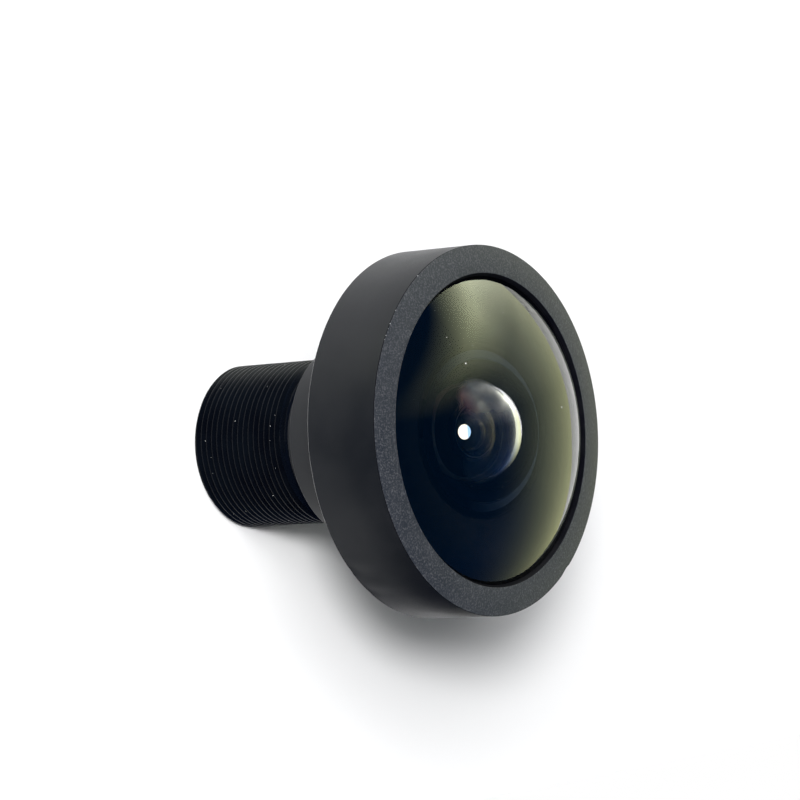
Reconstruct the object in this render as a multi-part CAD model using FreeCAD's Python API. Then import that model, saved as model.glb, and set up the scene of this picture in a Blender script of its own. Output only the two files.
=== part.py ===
import FreeCAD
import Part
import math
import os

# A fixed-focus fisheye lens with a 12 mm mounting thread, standing on the rear end of its barrel.
# Lengths are in millimetres. +Z is the optical axis, and Z = 0 is the rear face of the barrel.
# Every piece is turned or ground about that axis, so each is drawn as a half section in r and z.

# Mounting thread M12 x 0.5, drawn here at its major diameter
thread_radius = 6.0
thread_length = 8.6
thread_chamfer = 0.3
thread_wall = 1.1
runout_depth = 0.45
runout_width = 1.4

# Barrel neck and flange
neck_radius = 7.0
neck_chamfer = 0.15
neck_fillet = 1.2
flange_thickness = 2.2
flange_chamfer = 0.2

# Fits
glass_clearance = 0.05
screw_clearance = 0.02

# Rear end, counted forward from the rear face
retainer_recess = 0.6
retainer_height = 1.6
retainer_lip = 0.35
retainer_cover = 0.75
retainer_chamfer = 0.2
spanner_slot_width = 0.8
spanner_slot_depth = 0.5
gasket_thickness = 0.2
gasket_relief = 0.1
filter_thickness = 0.5
filter_spacer_height = 0.7
filter_spacer_relief = 0.3

# Rear glass: the flat rim round each spherical face, and the height of each such face over its rim
rear_glass_rim = 1.0
rear_element_edge = 1.4
rear_element_front_rise = 0.7
flint_edge = 3.0
cement_rise = 1.9
crown_edge = 1.2
crown_front_rise = 0.8
third_edge = 1.8
third_front_rise = 0.95
third_rear_rise = 0.9

# Rings between the rear elements; each relief is how far a hole clears the opening that it frames
shield_thickness = 0.2
shield_relief = 0.1
spacer_relief = 0.25
air_gap = 0.4

# Stop and the web of the barrel that carries it
web_relief = 0.15
stop_thickness = 0.2
stop_radius = 1.1
stop_countersink = 0.15

# Front group behind the dome
front_glass_radius = 5.15
front_spacer_height = 2.15
front_spacer_wall = 1.75
front_spacer_relief = 0.25
second_edge = 1.2
second_rim = 1.25
second_front_rise = 1.2
second_hollow_rim = 2.2
second_centre = 0.6
light_shield_relief = 0.1

# Front element, the dome
dome_radius = 12.25
dome_edge = 2.09
dome_rise = 5.21
dome_centre = 3.66
dome_seat_lap = 0.43
dome_bevel_width = 0.45
dome_bevel_height = 0.3

# Seal ring between the dome and the flange
seal_section = 0.9
seal_inset = 0.85
seal_side_clearance = 0.1

# Front cap
cap_wall = 0.9
cap_height = 6.0
cap_lip = 1.29
cap_seat_inset = 0.65
cap_wall_lean = 0.21
cap_wall_height = 0.29
cap_face_fall = 0.3
cap_rear_chamfer = 0.15

# Radii at the rear, from the thread inwards
retainer_bore = thread_radius - thread_wall
retainer_radius = retainer_bore - screw_clearance
rear_bore = retainer_bore - retainer_lip
retainer_hole = rear_bore - retainer_cover
gasket_hole = retainer_hole + gasket_relief
rear_glass_radius = rear_bore - glass_clearance
rear_aperture = rear_glass_radius - rear_glass_rim
shield_hole = rear_aperture + shield_relief
spacer_hole = rear_aperture + spacer_relief
filter_spacer_hole = rear_aperture + filter_spacer_relief
web_hole = rear_aperture + web_relief

# Radii at the front
front_bore = front_glass_radius + glass_clearance
second_aperture = front_glass_radius - second_rim
light_shield_hole = second_aperture + light_shield_relief
front_spacer_top_hole = second_hollow_rim + front_spacer_relief
front_spacer_bottom_hole = front_glass_radius - front_spacer_wall
dome_flat_hole = front_glass_radius - dome_seat_lap
dome_hollow_rim = dome_flat_hole - dome_bevel_width
cap_bore = dome_radius + glass_clearance
cap_radius = cap_bore + cap_wall
cap_window = dome_radius - cap_lip
flange_radius = cap_bore - screw_clearance

# Heights of the rear stack, from the retainer up to the web
retainer_z = retainer_recess
gasket_z = retainer_z + retainer_height
filter_z = gasket_z + gasket_thickness
filter_spacer_z = filter_z + filter_thickness
rear_element_z = filter_spacer_z + filter_spacer_height
rear_spacer_z = rear_element_z + rear_element_edge
rear_spacer_height = rear_element_front_rise + air_gap
rear_shield_z = rear_spacer_z + rear_spacer_height
flint_z = rear_shield_z + shield_thickness
crown_z = flint_z + flint_edge
middle_spacer_z = crown_z + crown_edge
middle_spacer_height = crown_front_rise + third_rear_rise + air_gap - shield_thickness
middle_shield_z = middle_spacer_z + middle_spacer_height
third_z = middle_shield_z + shield_thickness
web_z = third_z + third_edge
web_height = third_front_rise + air_gap

# Heights of the front stack, from the web up to the dome
stop_z = web_z + web_height
front_spacer_z = stop_z + stop_thickness
second_z = front_spacer_z + front_spacer_height
light_shield_z = second_z + second_edge
seat_z = light_shield_z + shield_thickness
flange_z = seat_z - flange_thickness
neck_z = thread_length + runout_width

# Sphere of the dome's front face
dome_rim_z = seat_z + dome_edge
dome_apex_z = dome_rim_z + dome_rise
dome_sphere = (dome_rise ** 2 + dome_radius ** 2) / (2 * dome_rise)
dome_centre_z = dome_apex_z - dome_sphere


def at(r, z):
    """A point of the half section."""
    return FreeCAD.Vector(r, 0, z)


def ball(rim_r, rim_z, apex_z):
    """The spherical face between a rim and its vertex on the axis, as an arc of the section."""
    rise = apex_z - rim_z
    radius = (rise ** 2 + rim_r ** 2) / (2 * abs(rise))
    half_angle = math.atan2(rim_r, radius - abs(rise)) / 2
    middle = apex_z - math.copysign(radius * (1 - math.cos(half_angle)), rise)
    return Part.Arc(at(rim_r, rim_z), at(radius * math.sin(half_angle), middle), at(0, apex_z)).toShape()


def lines(*points):
    """Straight edges through the points (r, z)."""
    corners = [at(r, z) for r, z in points]
    return [Part.makeLine(a, b) for a, b in zip(corners, corners[1:])]


def turn(edges):
    """A solid of revolution from the closed half section."""
    wire = Part.Wire(Part.__sortEdges__(edges))
    solid = Part.Face(wire).revolve(at(0, 0), FreeCAD.Vector(0, 0, 1), 360)
    return Part.makeSolid(solid) if solid.ShapeType != "Solid" else solid


def ring(hole, radius, low, high):
    """A plain washer or spacer."""
    return turn(lines((hole, low), (radius, low), (radius, high), (hole, high), (hole, low)))


def barrel():
    """The turned metal body: mounting thread, neck, flange, and the stepped bores for the glass."""
    root = thread_radius - runout_depth
    groove_z = seat_z - seal_section
    groove_in = dome_radius - seal_inset - seal_section / 2 - seal_side_clearance
    groove_out = groove_in + seal_section + 2 * seal_side_clearance
    fillet_middle = neck_fillet * (1 - math.cos(math.pi / 4))
    outside = lines(
        (retainer_bore, 0),
        (thread_radius - thread_chamfer, 0),
        (thread_radius, thread_chamfer),
        (thread_radius, thread_length - thread_chamfer),
        (root, thread_length - thread_chamfer + runout_depth),
        (root, neck_z),
        (neck_radius - neck_chamfer, neck_z),
        (neck_radius, neck_z + neck_chamfer),
        (neck_radius, flange_z - neck_fillet),
    )
    fillet = Part.Arc(
        at(neck_radius, flange_z - neck_fillet),
        at(neck_radius + fillet_middle, flange_z - fillet_middle),
        at(neck_radius + neck_fillet, flange_z),
    ).toShape()
    flange = lines(
        (neck_radius + neck_fillet, flange_z),
        (flange_radius - flange_chamfer, flange_z),
        (flange_radius, flange_z + flange_chamfer),
        (flange_radius, seat_z),
        (groove_out, seat_z),
        (groove_out, groove_z),
        (groove_in, groove_z),
        (groove_in, seat_z),
        (front_bore, seat_z),
    )
    bores = lines(
        (front_bore, seat_z),
        (front_bore, stop_z),
        (web_hole, stop_z),
        (web_hole, web_z),
        (rear_bore, web_z),
        (rear_bore, gasket_z),
        (retainer_bore, gasket_z),
        (retainer_bore, 0),
    )
    return turn(outside + [fillet] + flange + bores)


def front_cap():
    """The cup that screws over the flange; its conical lip bears on the dome along one circle."""
    seat_r = dome_radius - cap_seat_inset
    reach = math.sqrt(dome_sphere ** 2 - seat_r ** 2)
    contact_z = dome_centre_z + reach
    slope = seat_r / reach
    lip_z = contact_z + (seat_r - cap_window) * slope
    corner_z = contact_z - (cap_bore - seat_r) * slope
    face_z = lip_z + cap_wall_height
    edge_z = face_z - cap_face_fall
    rear_z = edge_z - cap_height
    return turn(lines(
        (cap_bore, rear_z),
        (cap_radius - cap_rear_chamfer, rear_z),
        (cap_radius, rear_z + cap_rear_chamfer),
        (cap_radius, edge_z),
        (cap_window + cap_wall_lean, face_z),
        (cap_window, lip_z),
        (cap_bore, corner_z),
        (cap_bore, rear_z),
    ))


def front_element():
    """The dome: a thick meniscus with a deep hollow, a ground bevel and a flat seat behind."""
    bevel_z = seat_z + dome_bevel_height
    hollow_z = dome_apex_z - dome_centre
    return turn([
        ball(dome_radius, dome_rim_z, dome_apex_z),
        ball(dome_hollow_rim, bevel_z, hollow_z),
    ] + lines((0, hollow_z), (0, dome_apex_z)) + lines(
        (dome_radius, dome_rim_z),
        (dome_radius, seat_z),
        (dome_flat_hole, seat_z),
        (dome_hollow_rim, bevel_z),
    ))


def front_seal():
    """The round rubber ring in the flange's groove, under the dome."""
    radius = seal_section / 2
    return Part.makeTorus(dome_radius - seal_inset, radius, at(0, seat_z - radius))


def second_element():
    """The small meniscus: a shallow front face and a nearly half-round hollow behind."""
    front_z = light_shield_z + second_front_rise
    hollow_z = front_z - second_centre
    return turn([
        ball(second_aperture, light_shield_z, front_z),
        ball(second_hollow_rim, second_z, hollow_z),
    ] + lines((0, hollow_z), (0, front_z)) + lines(
        (second_aperture, light_shield_z),
        (front_glass_radius, light_shield_z),
        (front_glass_radius, second_z),
        (second_hollow_rim, second_z),
    ))


def front_spacer():
    """The spacer under the small meniscus, opening like a cone towards the stop."""
    return turn(lines(
        (front_spacer_top_hole, second_z),
        (front_glass_radius, second_z),
        (front_glass_radius, front_spacer_z),
        (front_spacer_bottom_hole, front_spacer_z),
        (front_spacer_top_hole, second_z),
    ))


def aperture_stop():
    """The fixed iris: a thin plate with one countersunk hole."""
    return turn(lines(
        (stop_radius, front_spacer_z),
        (front_glass_radius, front_spacer_z),
        (front_glass_radius, stop_z),
        (stop_radius + stop_countersink, stop_z),
        (stop_radius, front_spacer_z),
    ))


def third_element():
    """The thick biconvex element under the web."""
    return turn([
        ball(rear_aperture, web_z, web_z + third_front_rise),
        ball(rear_aperture, third_z, third_z - third_rear_rise),
    ] + lines((0, third_z - third_rear_rise), (0, web_z + third_front_rise)) + lines(
        (rear_aperture, web_z),
        (rear_glass_radius, web_z),
        (rear_glass_radius, third_z),
        (rear_aperture, third_z),
    ))


def crown_element():
    """The front half of the cemented pair."""
    return turn([
        ball(rear_aperture, middle_spacer_z, middle_spacer_z + crown_front_rise),
        ball(rear_glass_radius, crown_z, crown_z - cement_rise),
    ] + lines((0, crown_z - cement_rise), (0, middle_spacer_z + crown_front_rise)) + lines(
        (rear_aperture, middle_spacer_z),
        (rear_glass_radius, middle_spacer_z),
        (rear_glass_radius, crown_z),
    ))


def flint_element():
    """The rear half of the cemented pair, flat behind."""
    return turn([
        ball(rear_glass_radius, crown_z, crown_z - cement_rise),
    ] + lines(
        (0, crown_z - cement_rise),
        (0, flint_z),
        (rear_glass_radius, flint_z),
        (rear_glass_radius, crown_z),
    ))


def rear_element():
    """The last lens element, convex in front and flat behind."""
    return turn([
        ball(rear_aperture, rear_spacer_z, rear_spacer_z + rear_element_front_rise),
    ] + lines((0, rear_spacer_z + rear_element_front_rise), (0, rear_element_z)) + lines(
        (0, rear_element_z),
        (rear_glass_radius, rear_element_z),
        (rear_glass_radius, rear_spacer_z),
        (rear_aperture, rear_spacer_z),
    ))


def infrared_filter():
    """The coated flat disc behind the last element."""
    return Part.makeCylinder(rear_glass_radius, filter_thickness, at(0, filter_z))


def rear_retainer():
    """The screwed ring that holds the rear stack, with two slots for a pin spanner."""
    body = turn(lines(
        (retainer_hole, gasket_z),
        (retainer_radius, gasket_z),
        (retainer_radius, retainer_z),
        (retainer_hole + retainer_chamfer, retainer_z),
        (retainer_hole, retainer_z + retainer_chamfer),
        (retainer_hole, gasket_z),
    ))
    corner = FreeCAD.Vector(-retainer_bore, -spanner_slot_width / 2, retainer_z)
    slots = Part.makeBox(2 * retainer_bore, spanner_slot_width, spanner_slot_depth, corner)
    return body.cut(slots)


pieces = {
    "barrel": barrel(),
    "front_cap": front_cap(),
    "front_element": front_element(),
    "front_seal": front_seal(),
    "light_shield": ring(light_shield_hole, front_glass_radius, light_shield_z, seat_z),
    "second_element": second_element(),
    "front_spacer": front_spacer(),
    "aperture_stop": aperture_stop(),
    "third_element": third_element(),
    "middle_shield": ring(shield_hole, rear_glass_radius, middle_shield_z, third_z),
    "middle_spacer": ring(spacer_hole, rear_glass_radius, middle_spacer_z, middle_shield_z),
    "crown_element": crown_element(),
    "flint_element": flint_element(),
    "rear_shield": ring(shield_hole, rear_glass_radius, rear_shield_z, flint_z),
    "rear_spacer": ring(spacer_hole, rear_glass_radius, rear_spacer_z, rear_shield_z),
    "rear_element": rear_element(),
    "filter_spacer": ring(filter_spacer_hole, rear_glass_radius, filter_spacer_z, rear_element_z),
    "infrared_filter": infrared_filter(),
    "filter_gasket": ring(gasket_hole, rear_glass_radius, gasket_z, filter_z),
    "rear_retainer": rear_retainer(),
}

os.makedirs("parts", exist_ok=True)
for name, shape in pieces.items():
    shape.exportStep("parts/" + name + ".step")
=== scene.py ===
import math
import random

import bmesh
import bpy
from mathutils import Matrix, Vector


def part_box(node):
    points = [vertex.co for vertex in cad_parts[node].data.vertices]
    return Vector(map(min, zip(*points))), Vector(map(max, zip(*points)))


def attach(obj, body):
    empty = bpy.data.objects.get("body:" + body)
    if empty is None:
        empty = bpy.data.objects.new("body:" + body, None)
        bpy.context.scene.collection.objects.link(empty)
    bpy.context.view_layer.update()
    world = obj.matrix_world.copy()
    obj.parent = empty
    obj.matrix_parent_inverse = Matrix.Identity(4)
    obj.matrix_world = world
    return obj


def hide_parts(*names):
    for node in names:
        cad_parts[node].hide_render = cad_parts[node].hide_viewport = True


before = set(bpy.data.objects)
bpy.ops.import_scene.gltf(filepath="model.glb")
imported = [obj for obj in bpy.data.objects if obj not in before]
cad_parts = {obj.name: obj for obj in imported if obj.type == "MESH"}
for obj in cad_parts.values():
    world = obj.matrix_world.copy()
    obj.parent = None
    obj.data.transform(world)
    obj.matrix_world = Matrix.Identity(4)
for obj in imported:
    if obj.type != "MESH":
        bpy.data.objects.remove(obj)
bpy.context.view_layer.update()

# A fixed-focus fisheye lens, standing on the rear end of its barrel. Shapes are written in
# millimetres about the optical axis, +Z, and become metres in the meshes.
MM = 0.001
COLUMNS = 192
SKIN = 0.005
SHARP_ANGLE = 28
TOUCH = 1e-4


def span(node):
    """Outer radius, lowest and highest point of a turned node, in millimetres."""
    low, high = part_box(node)
    return high.x / MM, low.z / MM, high.z / MM


# Outer sizes come from the frame. The names on the left are the part's own.
cap_radius, cap_rear_z, cap_face_z = span("front_cap")
dome_radius, seat_z, dome_apex_z = span("front_element")
flange_radius = span("barrel")[0]
second_radius, second_z, second_apex_z = span("second_element")
shield_radius, shield_z, shield_top_z = span("light_shield")
spacer_radius, spacer_z, spacer_top_z = span("front_spacer")
stop_outer, stop_z, stop_top_z = span("aperture_stop")
third_radius, third_low_z, third_apex_z = span("third_element")
retainer_radius, retainer_z, retainer_top_z = span("rear_retainer")
filter_radius, filter_z, filter_top_z = span("infrared_filter")

# A skin of five micrometres keeps the drawn outside within the solids, and the dome's seat is
# drawn a hundredth of a millimetre low, so that it doesn't mix with the glass that rests on it
cap_radius -= SKIN
flange_radius -= SKIN
seat_gap = 0.01

# Mounting thread M12 x 0.5
thread_radius = 6.0 - SKIN
thread_pitch = 0.5
thread_depth = 0.307
thread_crest = 0.14
thread_root = 0.25
thread_chamfer = 0.3
thread_end_z = 8.3
thread_wall = 1.1
crest_band = 0.04

# Barrel
groove_radius = 5.55
neck_z = 10.0
neck_radius = 7.0 - SKIN
neck_chamfer = 0.15
neck_fillet = 1.2
fillet_steps = 8
flange_thickness = 2.2
flange_chamfer = 0.2
retainer_lip = 0.35
web_hole = 3.65
seal_inset = 0.85
seal_section = 0.9
seal_side_clearance = 0.1
glass_clearance = 0.05

# Cap
cap_wall = 0.9
cap_lip = 1.29
cap_seat_inset = 0.65
cap_wall_lean = 0.21
cap_face_fall = 0.3
cap_rear_chamfer = 0.15
knock_rings = (0.3, 0.7)
edge_ease = 0.05
window_ease = 0.04

# Glass
dome_edge = 2.09
dome_centre = 3.66
dome_flat_hole = 4.72
dome_bevel_width = 0.45
dome_bevel_height = 0.3
second_aperture = 3.9
second_hollow_rim = 2.2
second_centre = 0.6
rim_line = 1.97
ground_rim = 0.09
rear_aperture = 3.5
third_edge = 1.8
third_front_rise = 0.95
third_rear_rise = 0.9
glow_radius = 1.9
dome_steps = 96
hollow_steps = 72
rear_steps = 36

# Rings
shield_hole = 4.0
front_spacer_top_hole = 2.45
front_spacer_bottom_hole = 3.4
stop_radius = 1.1
stop_countersink = 0.15
retainer_hole = 3.8
retainer_chamfer = 0.2
retainer_ease = 0.03
spanner_slot_width = 0.8
spanner_slot_depth = 0.5
cutter_margin = 1

# Dust, lint, worn edge and knocks as the photograph shows them: angles in degrees
dome_dust = [
    (-131.6, 7.23, 25.18, 0.06),
    (106.9, 4.27, 26.24, 0.06),
    (-137.9, 9.04, 24.19, 0.03),
    (179.5, 8.24, 24.66, 0.03),
]
thread_dust = [(-109.1, 4.01), (-52.4, 6.31), (-47.8, 5.92), (-103.7, 7.42), (-96.3, 1.25)]
worn_edge = [(212.4, 0.04), (228.2, 0.035), (233.2, 0.04), (235.0, 0.03), (237.4, 0.035), (238.8, 0.03)]
cap_nicks = [(36.8, 22.8), (312.8, 17.3), (323.8, 17.3)]
nick_reach = 0.5
nick_depth = 0.1
worn_sink = 0.03
thread_dust_size = 0.025
lint_angle, lint_z = -89.3, 22.28
lint_turn, lint_rise, lint_bend = 1.8, 0.45, 0.7
lint_size = 0.02
lint_steps = [i / 8 for i in range(9)]
grain_sink = 0.02

# Seeded dust besides: how many grains, between which heights or rings, and how large
fine_thread_dust = 24
fine_thread_span = (0.5, 8)
fine_thread_size = 0.015
fine_dome_dust = 16
fine_dome_rings = (12, 84)
fine_dome_sizes = (0.008, 0.018)
fine_dome_sink = 0.004


def ball(rim_r, rim_z, apex_z, steps=48):
    """Points of a spherical face, from its rim to its vertex on the axis."""
    rise = apex_z - rim_z
    radius = (rise ** 2 + rim_r ** 2) / (2 * rise)
    centre = apex_z - radius
    opening = math.atan2(rim_r, abs(radius) - abs(rise))
    angles = [opening * (steps - i) / steps for i in range(steps + 1)]
    return [(abs(radius) * math.sin(a), centre + radius * math.cos(a)) for a in angles]


def eased(corners, size=edge_ease, steps=3):
    """The same line with each inner corner rounded off."""
    points = [corners[0]]
    for before, corner, after in zip(corners, corners[1:], corners[2:]):
        here, back, on = Vector(corner), Vector(before), Vector(after)
        start = here.lerp(back, min(0.45, size / (back - here).length))
        end = here.lerp(on, min(0.45, size / (on - here).length))
        for i in range(steps + 1):
            t = i / steps
            points.append(tuple(start * (1 - t) ** 2 + here * 2 * t * (1 - t) + end * t ** 2))
    return points + [corners[-1]]


def circle(bm, r, z):
    """A ring of vertices, or one vertex on the axis."""
    if r < 1e-6:
        return [bm.verts.new((0, 0, z * MM))]
    turn = 2 * math.pi / COLUMNS
    return [
        bm.verts.new((r * MM * math.cos(k * turn), r * MM * math.sin(k * turn), z * MM))
        for k in range(COLUMNS)
    ]


def bridge(bm, low, high, slot):
    """Faces between two rings. Vertices that the rings share make triangles or nothing."""
    for k in range(COLUMNS):
        corners = []
        for ring, i in ((low, k), (low, k + 1), (high, k + 1), (high, k)):
            vertex = ring[i % len(ring)]
            if vertex not in corners:
                corners.append(vertex)
        if len(corners) > 2:
            bm.faces.new(corners).material_index = slot


def sweep(bm, runs, first, last=None):
    """Turns runs of (slot, points) about the axis. first and last are rings that exist already."""
    ring = first
    for number, (slot, points) in enumerate(runs):
        ends = len(points) - 1
        for i in range(1, len(points)):
            closing = last is not None and number == len(runs) - 1 and i == ends
            following = last if closing else circle(bm, *points[i])
            bridge(bm, ring, following, slot)
            ring = following


def piece(name, bm, materials, node):
    """Makes the mesh an object that rides on the body and stands for its node."""
    bmesh.ops.recalc_face_normals(bm, faces=bm.faces)
    mesh = bpy.data.meshes.new(name)
    bm.to_mesh(mesh)
    bm.free()
    for material in materials:
        mesh.materials.append(material)
    mesh.shade_smooth()
    mesh.set_sharp_from_angle(angle=math.radians(SHARP_ANGLE))
    thing = bpy.data.objects.new(name, mesh)
    bpy.context.scene.collection.objects.link(thing)
    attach(thing, "root")
    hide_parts(node)
    return thing


def turned(name, runs, materials, node, finish=None):
    """A turned or ground piece from its half section; finish adds marks to its mesh."""
    bm = bmesh.new()
    first = circle(bm, *runs[0][1][0])
    on_axis = len(first) == 1
    sweep(bm, runs, first, None if on_axis else first)
    if finish:
        finish(bm)
    return piece(name, bm, materials, node)


class Shader:
    """A material whose nodes are added one at a time."""

    def __init__(self, name):
        self.material = bpy.data.materials.new(name)
        self.material.use_nodes = True
        self.tree = self.material.node_tree
        self.tree.nodes.clear()

    def add(self, kind, settings=None, **inputs):
        node = self.tree.nodes.new("ShaderNode" + kind)
        for key, value in (settings or {}).items():
            setattr(node, key, value)
        for key, value in inputs.items():
            self.set(node, key.replace("_", " "), value)
        return node

    def set(self, node, key, value):
        socket = node.inputs[int(key) if key.isdigit() else key]
        if isinstance(value, bpy.types.NodeSocket):
            self.tree.links.new(value, socket)
        elif hasattr(value, "__len__") and len(value) == 3 and socket.type == "RGBA":
            socket.default_value = (*value, 1)
        else:
            socket.default_value = value

    def millimetres(self):
        """Object coordinates, in millimetres."""
        place = self.add("TexCoord").outputs["Object"]
        scaled = self.add("VectorMath", {"operation": "SCALE"}, Vector=place)
        scaled.inputs["Scale"].default_value = 1 / MM
        return scaled.outputs["Vector"]

    def noise(self, place, scale, detail=2.0, roughness=0.5):
        node = self.add("TexNoise", Vector=place, Scale=scale, Detail=detail, Roughness=roughness)
        return node.outputs["Fac"]

    def remap(self, value, low, high, to_low, to_high):
        """Value from low..high to to_low..to_high, held at the two ends."""
        node = self.add("MapRange", {"clamp": True}, Value=value)
        numbers = {"From Min": low, "From Max": high, "To Min": to_low, "To Max": to_high}
        for key, number in numbers.items():
            node.inputs[key].default_value = number
        return node.outputs["Result"]

    def maths(self, operation, a, b=0.0):
        node = self.add("Math", {"operation": operation})
        self.set(node, "0", a)
        self.set(node, "1", b)
        return node.outputs["Value"]

    def blend(self, factor, a, b):
        node = self.add("Mix", {"data_type": "RGBA"})
        self.set(node, "0", factor)
        self.set(node, "6", a)
        self.set(node, "7", b)
        return node.outputs[2]

    def bump(self, height, distance):
        node = self.add("Bump", Height=height, Strength=1.0)
        node.inputs["Distance"].default_value = distance * MM
        return node.outputs["Normal"]

    def surface(self, shader):
        output = self.add("OutputMaterial")
        self.tree.links.new(shader, output.inputs["Surface"])
        return self.material

    def principled(self, **inputs):
        return self.add("BsdfPrincipled", **inputs).outputs["BSDF"]


def anodised(name, colour, bloom, roughness, grain_size, grain_height, specular, fleck=0.0):
    """Black anodised metal with the fine pebbled skin that blasting leaves under it."""
    s = Shader(name)
    place = s.millimetres()
    grain = s.noise(place, 1 / grain_size, 3.0, 0.6)
    cloud = s.noise(place, 0.35, 3.0, 0.55)
    tint = s.blend(s.remap(cloud, 0.3, 0.7, 0, 1), colour, bloom)
    light = s.remap(grain, 0.48, 0.68, 0, fleck)
    tone = s.blend(light, tint, (0.4, 0.4, 0.42))
    gloss = s.remap(cloud, 0.3, 0.7, roughness - 0.03, roughness + 0.04)
    gloss = s.maths("ADD", gloss, s.remap(grain, 0.3, 0.7, -0.05, 0.05))
    shader = s.principled(
        Base_Color=tone,
        Roughness=gloss,
        Specular_IOR_Level=specular,
        Normal=s.bump(grain, grain_height),
    )
    return s.surface(shader)


def coated_glass(name, index, tint, bloom, smear=0.0):
    """Polished glass; bloom is the residual colour that its anti-reflection coating mirrors."""
    s = Shader(name)
    place = s.millimetres()
    wipe = s.noise(place, 0.5, 4.0, 0.6)
    shader = s.add("BsdfPrincipled", Roughness=s.remap(wipe, 0.5, 0.8, 0, smear))
    shader.inputs["Base Color"].default_value = (*tint, 1)
    shader.inputs["IOR"].default_value = index
    shader.inputs["Transmission Weight"].default_value = 1
    shader.inputs["Specular Tint"].default_value = (*bloom, 1)
    return s.surface(shader.outputs["BSDF"])


def painted_light_glass():
    """The hollow's own coating, with painted light on its -Y half: a warm diffuse layer that stands in for
    the light seen in the hollow, painted redder towards its rim as a coloured reflection.
    """
    painted_light_centre_y, painted_light_reach_x, painted_light_reach_y = -1.6, 3.1, 1.9
    painted_light_thin, painted_light_thick = 0.06, 0.38
    s = Shader("hollow_glass")
    place = s.millimetres()
    split = s.add("SeparateXYZ", Vector=place).outputs
    drift = s.remap(s.noise(place, 0.9, 3.0), 0.3, 0.7, 0.7, 1.2)
    along = s.maths("POWER", s.maths("DIVIDE", split["X"], painted_light_reach_x), 2.0)
    across = s.maths("DIVIDE", s.maths("ADD", split["Y"], -painted_light_centre_y), painted_light_reach_y)
    across = s.maths("POWER", across, 2.0)
    within = s.remap(s.maths("ADD", along, across), 0.92, 1.12, 1, 0)
    within = s.maths("MULTIPLY", within, s.remap(split["Y"], -3.25, -2.75, 0, 1))
    # The painted light grows thicker towards -X
    depth = s.remap(split["X"], -0.2, -1.7, painted_light_thin, painted_light_thick)
    painted_light = s.maths("MULTIPLY", depth, s.maths("MULTIPLY", drift, within))
    far_side = s.remap(split["Y"], -2.1, -2.9, 0, 1)
    painted_red = s.maths("MULTIPLY", far_side, s.remap(split["X"], -0.7, -1.4, 0, 1))
    shader = s.principled(
        Base_Color=s.blend(painted_red, (1.0, 0.92, 0.74), (1.0, 0.42, 0.32)),
        Roughness=0.0,
        IOR=1.55,
        Transmission_Weight=s.maths("SUBTRACT", 1.0, painted_light),
        Specular_Tint=(0.1, 0.07, 0.05),
    )
    return s.surface(shader)


def matte(name, colour, other, roughness, grain_size=0.08, grain_height=0.004, specular=0.5):
    """A dull surface whose tone drifts between two colours."""
    s = Shader(name)
    place = s.millimetres()
    grain = s.noise(place, 1 / grain_size, 3.0, 0.6)
    cloud = s.noise(place, 0.8, 2.0)
    shader = s.principled(
        Base_Color=s.blend(s.remap(cloud, 0.35, 0.65, 0, 1), colour, other),
        Roughness=s.remap(grain, 0.3, 0.7, roughness - 0.06, roughness + 0.06),
        Specular_IOR_Level=specular,
        Normal=s.bump(grain, grain_height),
    )
    return s.surface(shader)


def ground_glass():
    """The fine ground bevel, with painted light: its colour is paler on the side that faces the window and
    the wall.
    """
    s = Shader("ground_bevel")
    place = s.millimetres()
    split = s.add("SeparateXYZ", Vector=place).outputs
    painted_lit_side = s.maths("SUBTRACT", split["Y"], s.maths("MULTIPLY", split["X"], 0.25))
    pale = s.blend(s.noise(place, 20.0), (0.06, 0.075, 0.08), (0.085, 0.1, 0.1))
    shader = s.principled(
        # Painted light: dark and bluish away from the window, paler towards it
        Base_Color=s.blend(s.remap(painted_lit_side, -2.5, 1.5, 0, 1), (0.0, 0.001, 0.004), pale),
        Roughness=s.remap(s.noise(place, 30.0), 0.3, 0.7, 0.55, 0.65),
        Specular_IOR_Level=0.0,
    )
    return s.surface(shader)


def glow_glass():
    """Painted light on the element behind the stop: an emission that stands in for light coming up the
    barrel, warm, then white, then blue.
    """
    glow_strength = 1.5
    s = Shader("lit_glass")
    place = s.millimetres()
    across = s.add("SeparateXYZ", Vector=place).outputs["Y"]
    warm = s.blend(s.remap(across, -1.1, -0.8, 0, 1), (1.0, 0.75, 0.3), (1.0, 1.0, 0.97))
    light = s.add("Emission", Strength=glow_strength)
    s.set(light, "Color", s.blend(s.remap(across, 0.6, 1.0, 0, 1), warm, (0.35, 0.6, 1.0)))
    return s.surface(light.outputs["Emission"])


satin_black = anodised(
    "satin_black", (0.006, 0.007, 0.009), (0.009, 0.01, 0.012),
    roughness=0.38, grain_size=0.07, grain_height=0.002, specular=0.28,
)
# Pale grey anodising for the head's rear chamfer: a painted highlight for the bright line that the chamfer
# catches
painted_rim_highlight = anodised(
    "painted_rim_highlight", (0.28, 0.285, 0.29), (0.36, 0.365, 0.37),
    roughness=0.35, grain_size=0.07, grain_height=0.002, specular=0.5,
)
blasted_black = anodised(
    "blasted_black", (0.012, 0.014, 0.017), (0.022, 0.024, 0.027),
    roughness=0.45, grain_size=0.13, grain_height=0.03, specular=0.45, fleck=0.15,
)
# A much darker copy of the satin anodising: painted shade for the thread; the rear retainer uses it too
painted_shade_black = anodised(
    "painted_shade_black", (0.001, 0.0015, 0.003), (0.002, 0.003, 0.005),
    roughness=0.28, grain_size=0.06, grain_height=0.001, specular=0.11,
)
# Black matte for the blackened and hidden parts; on the head's front edge it is painted shade
lip_black = matte("lip_black", (0.002, 0.002, 0.003), (0.004, 0.004, 0.005), 0.6, specular=0.1)
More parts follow.
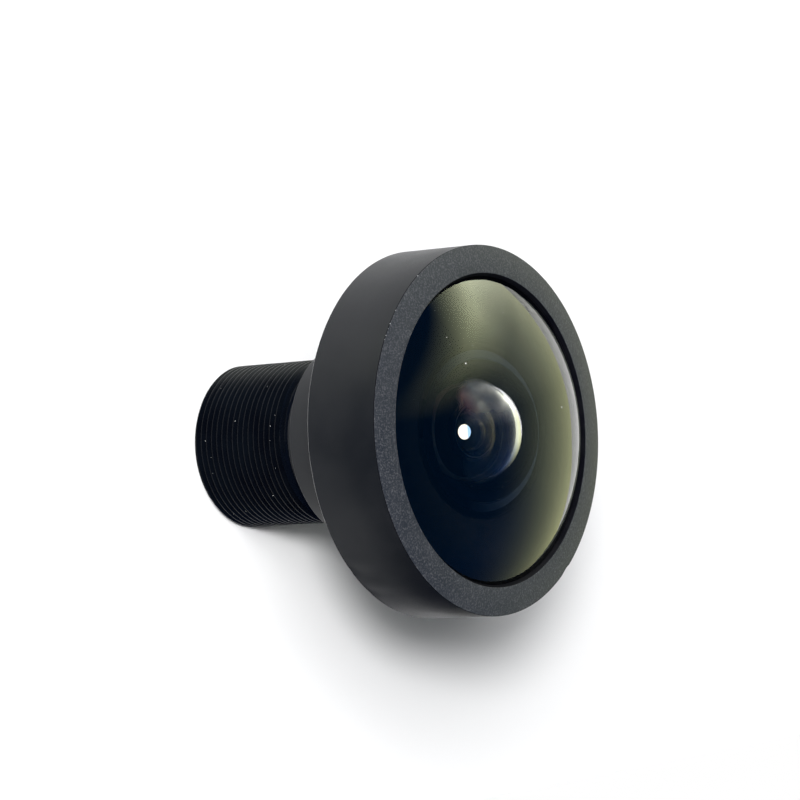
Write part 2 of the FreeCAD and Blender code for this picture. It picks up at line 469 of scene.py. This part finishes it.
# Black edge ink, real, with a faint blue that is a painted reflection of the blue surroundings the dome
# mirrors
ink_and_painted_blue = matte(
    "ink_and_painted_blue", (0.0, 0.0008, 0.003), (0.0, 0.0012, 0.004),
    roughness=0.4, grain_size=0.5, grain_height=0.0, specular=0.03,
)
fine_rim = matte("fine_rim", (0.2, 0.21, 0.22), (0.3, 0.31, 0.32), 0.5, grain_size=0.03)
black_film = matte("black_film", (0.004, 0.004, 0.005), (0.008, 0.008, 0.009), 0.7)
black_rubber = matte("black_rubber", (0.012, 0.012, 0.013), (0.022, 0.022, 0.022), 0.75)
dark_brass = matte("dark_brass", (0.01, 0.009, 0.008), (0.02, 0.017, 0.014), 0.5)
dust = matte("dust", (0.75, 0.75, 0.72), (0.85, 0.85, 0.8), 0.8)
bare_metal = matte("bare_metal", (0.3, 0.31, 0.32), (0.45, 0.46, 0.47), 0.4)
ground_bevel = ground_glass()
hollow_glass = painted_light_glass()
lit_glass = glow_glass()
dome_glass = coated_glass("dome_glass", 1.55, tint=(0.99, 0.99, 0.97), bloom=(0.95, 1.0, 0.62), smear=0.01)
second_glass = coated_glass("second_glass", 1.6, tint=(0.99, 0.98, 0.97), bloom=(0.03, 0.03, 0.03))
rear_glass = coated_glass("rear_glass", 1.6, tint=(0.98, 0.98, 0.98), bloom=(0.3, 0.4, 0.45))
filter_glass = coated_glass("filter_glass", 1.52, tint=(0.62, 0.86, 0.84), bloom=(1.0, 0.35, 0.4))


def at(angle, r, z):
    """A point in metres from its angle about the axis, radius and height."""
    turn = math.radians(angle)
    return Vector((r * math.cos(turn), r * math.sin(turn), z)) * MM


def specks(bm, spots, slot):
    """Small round grains set half into the surface: (angle, radius, height, size)."""
    for angle, r, z, size in spots:
        place = Matrix.Translation(at(angle, r, z))
        grain = bmesh.ops.create_icosphere(bm, subdivisions=1, radius=size * MM, matrix=place)
        for vertex in grain["verts"]:
            for f in vertex.link_faces:
                f.material_index = slot


def dent(bm, angle, r, z, reach, depth):
    """Pushes the surface towards the axis around one point, as a knock on the edge does."""
    centre = at(angle, r, z)
    for vertex in bm.verts:
        near = 1 - (vertex.co - centre).length / (reach * MM)
        if near > 0:
            vertex.co -= Vector((vertex.co.x, vertex.co.y, 0)).normalized() * depth * MM * near


def barrel():
    """The barrel with its true right-hand thread, cut in a helix that fades at both ends."""
    bm = bmesh.new()
    bore = thread_radius - thread_wall
    start = circle(bm, thread_radius - thread_chamfer, 0)
    runout_z = thread_end_z + thread_radius - groove_radius
    end = circle(bm, groove_radius, runout_z)
    crest, root = thread_crest / 2, thread_root / 2
    phases = [-crest - crest_band, -crest, crest, crest + crest_band, 0.5 - root, 0.5, 0.5 + root]

    def radius(phase, z):
        """Radius of the thread at a phase of its turn, within the cones at its two ends."""
        off = abs((phase + 0.5) % 1 - 0.5)
        flank = min(1, max(0, (off - crest) / (0.5 - root - crest)))
        cut = thread_radius - thread_depth * flank
        return min(cut, thread_radius - thread_chamfer + z, thread_radius - (z - thread_end_z))

    turns = int(runout_z / thread_pitch) + 2
    rows = [turn + phase for turn in range(-1, turns) for phase in phases]
    grid = []
    for row in rows:
        ring = []
        for k in range(COLUMNS):
            angle = 2 * math.pi * k / COLUMNS
            z = (row + k / COLUMNS) * thread_pitch
            if z <= TOUCH:
                ring.append(start[k])
            elif z >= runout_z - TOUCH:
                ring.append(end[k])
            else:
                r = radius(row, z)
                ring.append(bm.verts.new((r * MM * math.cos(angle), r * MM * math.sin(angle), z * MM)))
        grid.append(ring)
    per_turn = len(phases)
    for i in range(len(grid) - 1):
        for k in range(COLUMNS):
            if k + 1 < COLUMNS:
                corners = [grid[i][k], grid[i][k + 1], grid[i + 1][k + 1], grid[i + 1][k]]
            elif i + 1 + per_turn < len(grid):
                corners = [grid[i][k], grid[i + per_turn][0], grid[i + 1 + per_turn][0], grid[i + 1][k]]
            else:
                continue
            corners = list(dict.fromkeys(corners))
            if len(corners) > 2 and bm.faces.get(corners) is None:
                bm.faces.new(corners).material_index = 0
    flange_z = seat_z - flange_thickness
    fillet_r, fillet_z = neck_radius + neck_fillet, flange_z - neck_fillet
    quarter = [math.pi / 2 * i / fillet_steps for i in range(fillet_steps + 1)]
    fillet = [
        (fillet_r - neck_fillet * math.cos(a), fillet_z + neck_fillet * math.sin(a)) for a in quarter
    ]
    seal_in = dome_radius - seal_inset - seal_section / 2 - seal_side_clearance
    seal_out = seal_in + seal_section + 2 * seal_side_clearance
    front_bore = second_radius + glass_clearance
    rear_bore = bore - retainer_lip
    neck = eased([
        (groove_radius, runout_z),
        (groove_radius, neck_z),
        (neck_radius - neck_chamfer, neck_z),
        (neck_radius, neck_z + neck_chamfer),
        fillet[0],
    ])
    inside = [
        (flange_radius - flange_chamfer, flange_z),
        (flange_radius, flange_z + flange_chamfer),
        (flange_radius, seat_z - seat_gap),
        (seal_out, seat_z - seat_gap),
        (seal_out, seat_z - seal_section),
        (seal_in, seat_z - seal_section),
        (seal_in, seat_z - seat_gap),
        (front_bore, seat_z - seat_gap),
        (front_bore, stop_z),
        (web_hole, stop_z),
        (web_hole, third_low_z + third_rear_rise + third_edge),
        (rear_bore, third_low_z + third_rear_rise + third_edge),
        (rear_bore, filter_z),
        (bore, retainer_top_z),
        (bore, 0),
        (thread_radius - thread_chamfer, 0),
    ]
    runs = [(1, neck), (1, fillet), (1, [fillet[-1], inside[0]]), (2, inside)]
    sweep(bm, runs, end, start)
    bmesh.ops.delete(bm, geom=[v for v in bm.verts if not v.link_faces], context="VERTS")
    chance = random.Random(5)
    dust_r = thread_radius - grain_sink
    spots = [(angle, dust_r, z, thread_dust_size) for angle, z in thread_dust]
    for i in range(fine_thread_dust):
        angle = chance.uniform(0, 360)
        spots.append((angle, dust_r, chance.uniform(*fine_thread_span), fine_thread_size))
    specks(bm, spots, 3)
    finishes = [painted_shade_black, satin_black, lip_black, dust]
    return piece("barrel_body", bm, finishes, "barrel")


def cap_profile():
    """The cap's half section, its lip tangent to the dome."""
    rim_z = seat_z + dome_edge
    rise = dome_apex_z - rim_z
    sphere = (rise ** 2 + dome_radius ** 2) / (2 * rise)
    centre_z = dome_apex_z - sphere
    bore = cap_radius - cap_wall
    window = dome_radius - cap_lip
    touch_r = dome_radius - cap_seat_inset
    reach = math.sqrt(sphere ** 2 - touch_r ** 2)
    slope = touch_r / reach
    touch_z = centre_z + reach
    lip = (window, touch_z + (touch_r - window) * slope)
    corner = (bore, touch_z - (bore - touch_r) * slope)
    face = (window + cap_wall_lean, cap_face_z)
    edge = (cap_radius, cap_face_z - cap_face_fall)
    return bore, lip, corner, face, edge


def front_cap():
    """The head: satin side wall, pebbled front face, blackened lip, a painted highlight on its rear chamfer
    and a painted dark line round its front edge.
    """
    bore, lip, corner, face, edge = cap_profile()
    rear = (bore, cap_rear_z)
    middle = (cap_radius, (cap_rear_z + edge[1]) / 2)
    chamfer = [(cap_radius - cap_rear_chamfer, cap_rear_z), (cap_radius, cap_rear_z + cap_rear_chamfer)]
    half = Vector(edge).lerp(Vector(face), 0.5)
    front = eased([middle, edge, tuple(half)])
    inner = eased([tuple(half), face, lip], window_ease)
    knocked = [(cap_radius, chamfer[1][1] + step) for step in knock_rings]
    runs = [
        (0, [rear, chamfer[0]]),
        # The rear chamfer in the pale finish, a painted highlight
        (3, chamfer),
        (0, [chamfer[1], *knocked, middle]),
        (0, front[:2]),
        # The rounded front edge in the black matte: a painted dark line of shade round the edge
        (2, front[1:-2]),
        (1, front[-3:]),
        (1, inner[:-2]),
        (2, inner[-3:]),
        (2, [lip, corner]),
        (2, [corner, rear]),
    ]

    def marks(bm):
        for angle, z in cap_nicks:
            dent(bm, angle, cap_radius, z, nick_reach, nick_depth)
        worn = [(angle, edge[0] - worn_sink, edge[1], size) for angle, size in worn_edge]
        lint_r = cap_radius - grain_sink
        lint = [
            (lint_angle + lint_turn * t, lint_r, lint_z + lint_rise * t ** lint_bend, lint_size)
            for t in lint_steps
        ]
        specks(bm, worn + lint, 4)

    finishes = [satin_black, blasted_black, lip_black, painted_rim_highlight, bare_metal]
    return turned("head_shell", runs, finishes, "front_cap", finish=marks)


def front_element():
    """The dome, with black ink on its edge and flat and a ground bevel round its hollow."""
    rim_z = seat_z + dome_edge
    hollow_rim = dome_flat_hole - dome_bevel_width
    bevel_z = seat_z + dome_bevel_height
    front = ball(dome_radius, rim_z, dome_apex_z, dome_steps)
    hollow = ball(hollow_rim, bevel_z, dome_apex_z - dome_centre, hollow_steps)
    runs = [
        (0, front[::-1]),
        (1, [(dome_radius, rim_z), (dome_radius, seat_z), (dome_flat_hole, seat_z)]),
        (2, [(dome_flat_hole, seat_z), (hollow_rim, bevel_z)]),
        (3, hollow),
    ]

    def marks(bm):
        chance = random.Random(11)
        spots = list(dome_dust)
        for i in range(fine_dome_dust):
            r, z = front[chance.randrange(*fine_dome_rings)]
            angle = chance.uniform(0, 360)
            spots.append((angle, r, z - fine_dome_sink, chance.uniform(*fine_dome_sizes)))
        specks(bm, spots, 4)

    finishes = [dome_glass, ink_and_painted_blue, ground_bevel, hollow_glass, dust]
    return turned("dome", runs, finishes, "front_element", finish=marks)


def second_element():
    """The small meniscus, inked all over but its polished faces, with a fine line round the rear one."""
    rim_z = shield_z
    hollow_z = second_apex_z - second_centre
    hollow = ball(second_hollow_rim, second_z + ground_rim, hollow_z)
    inked = next(i for i, point in enumerate(hollow) if point[0] < rim_line)
    runs = [
        (0, ball(second_aperture, rim_z, second_apex_z)[::-1]),
        (1, [(second_aperture, rim_z), (second_radius, rim_z), (second_radius, second_z)]),
        (1, [(second_radius, second_z), (second_hollow_rim + ground_rim, second_z)]),
        (1, [(second_hollow_rim + ground_rim, second_z), (second_hollow_rim, second_z + ground_rim)]),
        (1, hollow[:inked]),
        (2, hollow[inked - 1:inked + 1]),
        (0, hollow[inked:]),
    ]
    finishes = [second_glass, ink_and_painted_blue, fine_rim]
    return turned("small_meniscus", runs, finishes, "second_element")


def third_element():
    """The element behind the stop; its glowing middle, painted light, is what the stop frames."""
    web_z = third_apex_z - third_front_rise
    low_z = third_low_z + third_rear_rise
    front = ball(rear_aperture, web_z, third_apex_z, rear_steps)[::-1]
    lit = [p for p in front if p[0] <= glow_radius]
    clear = front[len(lit) - 1:]
    runs = [
        (2, lit),
        (0, clear),
        (1, [(rear_aperture, web_z), (third_radius, web_z), (third_radius, low_z), (rear_aperture, low_z)]),
        (0, ball(rear_aperture, low_z, third_low_z, rear_steps)),
    ]
    finishes = [rear_glass, ink_and_painted_blue, lit_glass]
    return turned("thick_element", runs, finishes, "third_element")


def rings():
    """The light shield, the conical spacer and the stop, which show through the glass."""
    turned("dome_shield", [(0, [
        (shield_hole, shield_z),
        (shield_radius, shield_z),
        (shield_radius, shield_top_z),
        (shield_hole, shield_top_z),
        (shield_hole, shield_z),
    ])], [black_film], "light_shield")
    turned("cone_spacer", [(0, [
        (front_spacer_top_hole, spacer_top_z),
        (spacer_radius, spacer_top_z),
        (spacer_radius, spacer_z),
        (front_spacer_bottom_hole, spacer_z),
        (front_spacer_top_hole, spacer_top_z),
    ])], [lip_black], "front_spacer")
    turned("stop_plate", [(0, [
        (stop_radius, stop_top_z),
        (stop_outer, stop_top_z),
        (stop_outer, stop_z),
        (stop_radius + stop_countersink, stop_z),
        (stop_radius, stop_top_z),
    ])], [dark_brass], "aperture_stop")


def rear_end():
    """The filter disc and the slotted retainer, seen from behind."""
    turned("filter_disc", [(0, [
        (0, filter_top_z),
        (filter_radius, filter_top_z),
        (filter_radius, filter_z),
        (0, filter_z),
    ])], [filter_glass], "infrared_filter")
    ring = turned("retainer_ring", [(0, eased([
        (retainer_hole, retainer_top_z),
        (retainer_radius, retainer_top_z),
        (retainer_radius, retainer_z),
        (retainer_hole + retainer_chamfer, retainer_z),
        (retainer_hole, retainer_z + retainer_chamfer),
        (retainer_hole, retainer_top_z),
    ], retainer_ease))], [painted_shade_black], "rear_retainer")
    bm = bmesh.new()
    length = 2 * retainer_radius + cutter_margin
    size = Vector((length, spanner_slot_width, 2 * spanner_slot_depth)) * MM
    place = Matrix.Translation((0, 0, retainer_z * MM)) @ Matrix.Diagonal((*size, 1))
    bmesh.ops.create_cube(bm, size=1, matrix=place)
    mesh = bpy.data.meshes.new("slot_cutter")
    bm.to_mesh(mesh)
    bm.free()
    cutter = bpy.data.objects.new("slot_cutter", mesh)
    bpy.context.scene.collection.objects.link(cutter)
    cut = ring.modifiers.new("slots", "BOOLEAN")
    cut.operation = "DIFFERENCE"
    cut.solver = "EXACT"
    cut.object = cutter
    bpy.context.view_layer.update()
    evaluated = ring.evaluated_get(bpy.context.evaluated_depsgraph_get())
    slotted = bpy.data.meshes.new_from_object(evaluated)
    ring.modifiers.clear()
    ring.data = slotted
    bpy.data.objects.remove(cutter)


barrel()
front_cap()
front_element()
second_element()
third_element()
rings()
rear_end()

# The pieces that stay as they are in the frame, all of them shut inside
inner_finish = {
    "front_seal": black_rubber,
    "filter_gasket": black_rubber,
    "middle_shield": black_film,
    "rear_shield": black_film,
    "middle_spacer": lip_black,
    "rear_spacer": lip_black,
    "filter_spacer": lip_black,
    "crown_element": rear_glass,
    "flint_element": rear_glass,
    "rear_element": rear_glass,
}
for node, material in inner_finish.items():
    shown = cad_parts[node]
    shown.data.materials.clear()
    shown.data.materials.append(material)


# White card of the ground: its corners, its mean tone, and the light that is added to it where a
# camera, glossy or transmission ray meets it
card_low = (-320, -31)
card_high = (29.5, 480)
floor_tone = 0.81
floor_lift = 0.03


def floor_material():
    """White card that keeps the shadow; its underside lets a camera below it see the rear end."""
    s = Shader("white_ground")
    place = s.add("TexCoord").outputs["Object"]
    cloud = s.noise(place, 6.0, 2.0)
    colour = s.blend(s.remap(cloud, 0.3, 0.7, 0, 1), (0.8, 0.8, 0.81), (0.82, 0.82, 0.82))
    diffuse = s.add("BsdfDiffuse", Color=colour).outputs["BSDF"]
    path = s.add("LightPath").outputs
    seen = s.maths("MAXIMUM", path["Is Camera Ray"], path["Is Glossy Ray"])
    seen = s.maths("MAXIMUM", seen, path["Is Transmission Ray"])
    lift = s.add("Emission", Color=(1, 1, 1), Strength=s.maths("MULTIPLY", seen, floor_lift))
    both = s.add("AddShader")
    s.tree.links.new(diffuse, both.inputs[0])
    s.tree.links.new(lift.outputs["Emission"], both.inputs[1])
    open_below = s.add("MixShader", Fac=s.add("NewGeometry").outputs["Backfacing"])
    s.tree.links.new(both.outputs["Shader"], open_below.inputs[1])
    s.tree.links.new(s.add("BsdfTransparent").outputs["BSDF"], open_below.inputs[2])
    return s.surface(open_below.outputs["Shader"])


bm = bmesh.new()
corners = [card_low, (card_high[0], card_low[1]), card_high, (card_low[0], card_high[1])]
bm.faces.new([bm.verts.new((x * MM, y * MM, 0)) for x, y in corners])
floor_mesh = bpy.data.meshes.new("floor")
bm.to_mesh(floor_mesh)
bm.free()
floor_mesh.materials.append(floor_material())
floor = bpy.data.objects.new("floor", floor_mesh)
bpy.context.scene.collection.objects.link(floor)

# Camera of the photograph: it looks along +Y and down, rolled so that the lens lies on its side
camera_elevation = math.radians(38.14)
camera_roll = math.radians(85.785)
camera_distance = 287.2
camera_aim = (-2.602, 0, 14.91)
camera_lens = 179.2
camera_sensor = 36

eye = Vector((0, -math.cos(camera_elevation), math.sin(camera_elevation)))
level_right = Vector((1, 0, 0))
level_up = eye.cross(level_right)
right = level_right * math.cos(camera_roll) + level_up * math.sin(camera_roll)
up = eye.cross(right)
camera_data = bpy.data.cameras.new("camera")
camera_data.lens = camera_lens
camera_data.sensor_width = camera_sensor
camera = bpy.data.objects.new("camera", camera_data)
turn = Matrix((right, up, eye)).transposed().to_4x4()
camera.matrix_world = Matrix.Translation((Vector(camera_aim) + eye * camera_distance) * MM) @ turn
bpy.context.scene.collection.objects.link(camera)
bpy.context.scene.camera = camera


def sun(name, way, spread, share):
    """A soft far light that no mirror shows; share is its part of the ground's brightness."""
    way = Vector(way).normalized()
    data = bpy.data.lights.new(name, "SUN")
    data.energy = share * math.pi / (floor_tone * way.z)
    data.angle = math.radians(spread)
    thing = bpy.data.objects.new(name, data)
    thing.rotation_euler = way.to_track_quat("Z", "Y").to_euler()
    thing.visible_glossy = False
    thing.visible_transmission = False
    bpy.context.scene.collection.objects.link(thing)


# Two lamps make the photograph's shadow, which is soft and dark only close to the lens
sun("broad", way=(-0.45, -1.1, 1.0), spread=34, share=0.58)
sun("sharp", way=(-0.28, -1.25, 1.0), spread=9, share=0.46)

# Surroundings for all but the camera: dark blue, darker below, with a pale wall beyond +Y, a
# tall soft window whose slanted plane has this normal, a pale ledge and a light low side at -X
window_side = Vector((0.756, 0.637, 0.148)).normalized()
window_shift = 0.06
sky_blue = (0.01, 0.07, 0.31)
wall_colour = (1.0, 1.02, 0.55)
window_colour = (1.0, 1.02, 0.85)
wall_light = 1.15
window_light = 4.0
ledge_light = 0.65
side_light = 1.8
wall_end_share = 0.4
window_top_share = 0.08
below_share = 0.12
diffuse_share = 0.06
world = bpy.data.worlds.new("surroundings")
world.use_nodes = True
bpy.context.scene.world = world


class Sky(Shader):
    """The world's nodes, added the same way."""

    def __init__(self, world):
        self.tree = world.node_tree
        self.tree.nodes.clear()


sky = Sky(world)
way = sky.add("TexCoord").outputs["Generated"]
split = sky.add("SeparateXYZ", Vector=way).outputs
wall = sky.maths("POWER", sky.remap(split["Y"], 0.35, 1.0, 0, 1), 2.6)
wall_fade = sky.remap(split["X"], 0.25, 0.7, wall_light, wall_light * wall_end_share)
wall = sky.maths("MULTIPLY", wall, wall_fade)
aside = sky.add("VectorMath", {"operation": "DOT_PRODUCT"}, Vector=way)
aside.inputs[1].default_value = window_side
aside = sky.maths("ABSOLUTE", sky.maths("ADD", aside.outputs["Value"], window_shift))
window = sky.maths("POWER", sky.remap(aside, 0.03, 0.32, 1, 0), 1.6)
window_fade = sky.remap(split["Z"], 0.5, 1.0, window_light, window_light * window_top_share)
window = sky.maths("MULTIPLY", window, window_fade)
window = sky.maths("MULTIPLY", window, sky.remap(split["X"], -0.4, -0.12, 1, 0))
ledge = sky.remap(split["X"], -0.12, -0.4, 0, ledge_light)
ledge = sky.maths("MULTIPLY", ledge, sky.remap(split["Y"], 0.25, 0.6, 0, 1))
side = sky.remap(split["X"], -0.35, -0.8, 0, side_light)
side = sky.maths("MULTIPLY", side, sky.remap(split["Z"], 0.35, 0.0, 0, 1))
window = sky.maths("ADD", window, sky.maths("ADD", ledge, side))
path = sky.add("LightPath").outputs
share = sky.remap(path["Is Diffuse Ray"], 0, 1, 1, diffuse_share)
below = sky.remap(split["Z"], -0.2, 0.5, below_share, 1)
parts = [
    sky.add("Background", Color=sky_blue, Strength=sky.maths("MULTIPLY", below, share)),
    sky.add("Background", Color=wall_colour, Strength=sky.maths("MULTIPLY", wall, share)),
    sky.add("Background", Color=window_colour, Strength=sky.maths("MULTIPLY", window, share)),
]
both = parts[0]
for part in parts[1:]:
    more = sky.add("AddShader")
    sky.tree.links.new(both.outputs[0], more.inputs[0])
    sky.tree.links.new(part.outputs[0], more.inputs[1])
    both = more
white = sky.add("Background", Color=(1, 1, 1), Strength=1.0)
pick = sky.add("MixShader", Fac=path["Is Camera Ray"])
sky.tree.links.new(both.outputs[0], pick.inputs[1])
sky.tree.links.new(white.outputs["Background"], pick.inputs[2])
out = sky.add("OutputWorld")
sky.tree.links.new(pick.outputs["Shader"], out.inputs["Surface"])

bpy.context.scene.view_settings.view_transform = "Standard"
